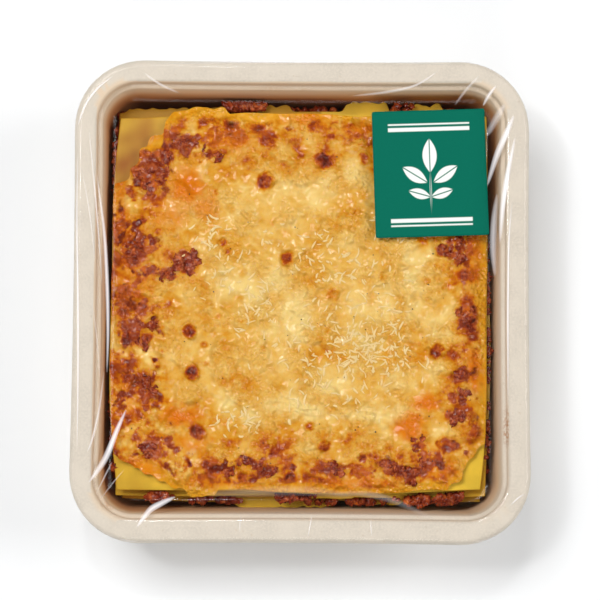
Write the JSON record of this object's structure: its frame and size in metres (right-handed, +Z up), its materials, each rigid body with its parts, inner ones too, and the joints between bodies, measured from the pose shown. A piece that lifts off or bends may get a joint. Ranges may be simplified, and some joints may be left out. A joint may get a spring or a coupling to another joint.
{
  "type": "lasagne ready meal in a film-sealed pulp tray",
  "caption": "Layered lasagne with browned cheese in a square moulded-pulp tray, sealed under clear film with a plain label.",
  "frame": {"origin": "centre of the tray's underside, on the surface that the pack rests on", "axes": "+Z up through the film, +X to the right and +Y to the far side as the picture shows it"},
  "size_m": [0.1814, 0.1918, 0.0455],
  "materials": {
    "pulp": "matt moulded plant-fibre pulp",
    "film": "clear glossy stretched film",
    "label_paper": "smooth matt printed paper",
    "cheese": "melted and browned cheese, oily sheen",
    "pasta": "cooked egg pasta, damp",
    "meat_sauce": "minced meat in tomato sauce, wet"
  },
  "bodies": {
    "root": {"tray": "pulp", "film": "film", "label": "label_paper", "cheese_topping": "cheese", "pasta_sheet_1": "pasta", "pasta_sheet_2": "pasta", "pasta_sheet_3": "pasta", "pasta_sheet_4": "pasta", "pasta_sheet_5": "pasta", "ragu_layer_1": "meat_sauce", "ragu_layer_2": "meat_sauce", "ragu_layer_3": "meat_sauce", "ragu_layer_4": "meat_sauce", "ragu_layer_5": "meat_sauce"}
  },
  "joints": []
}
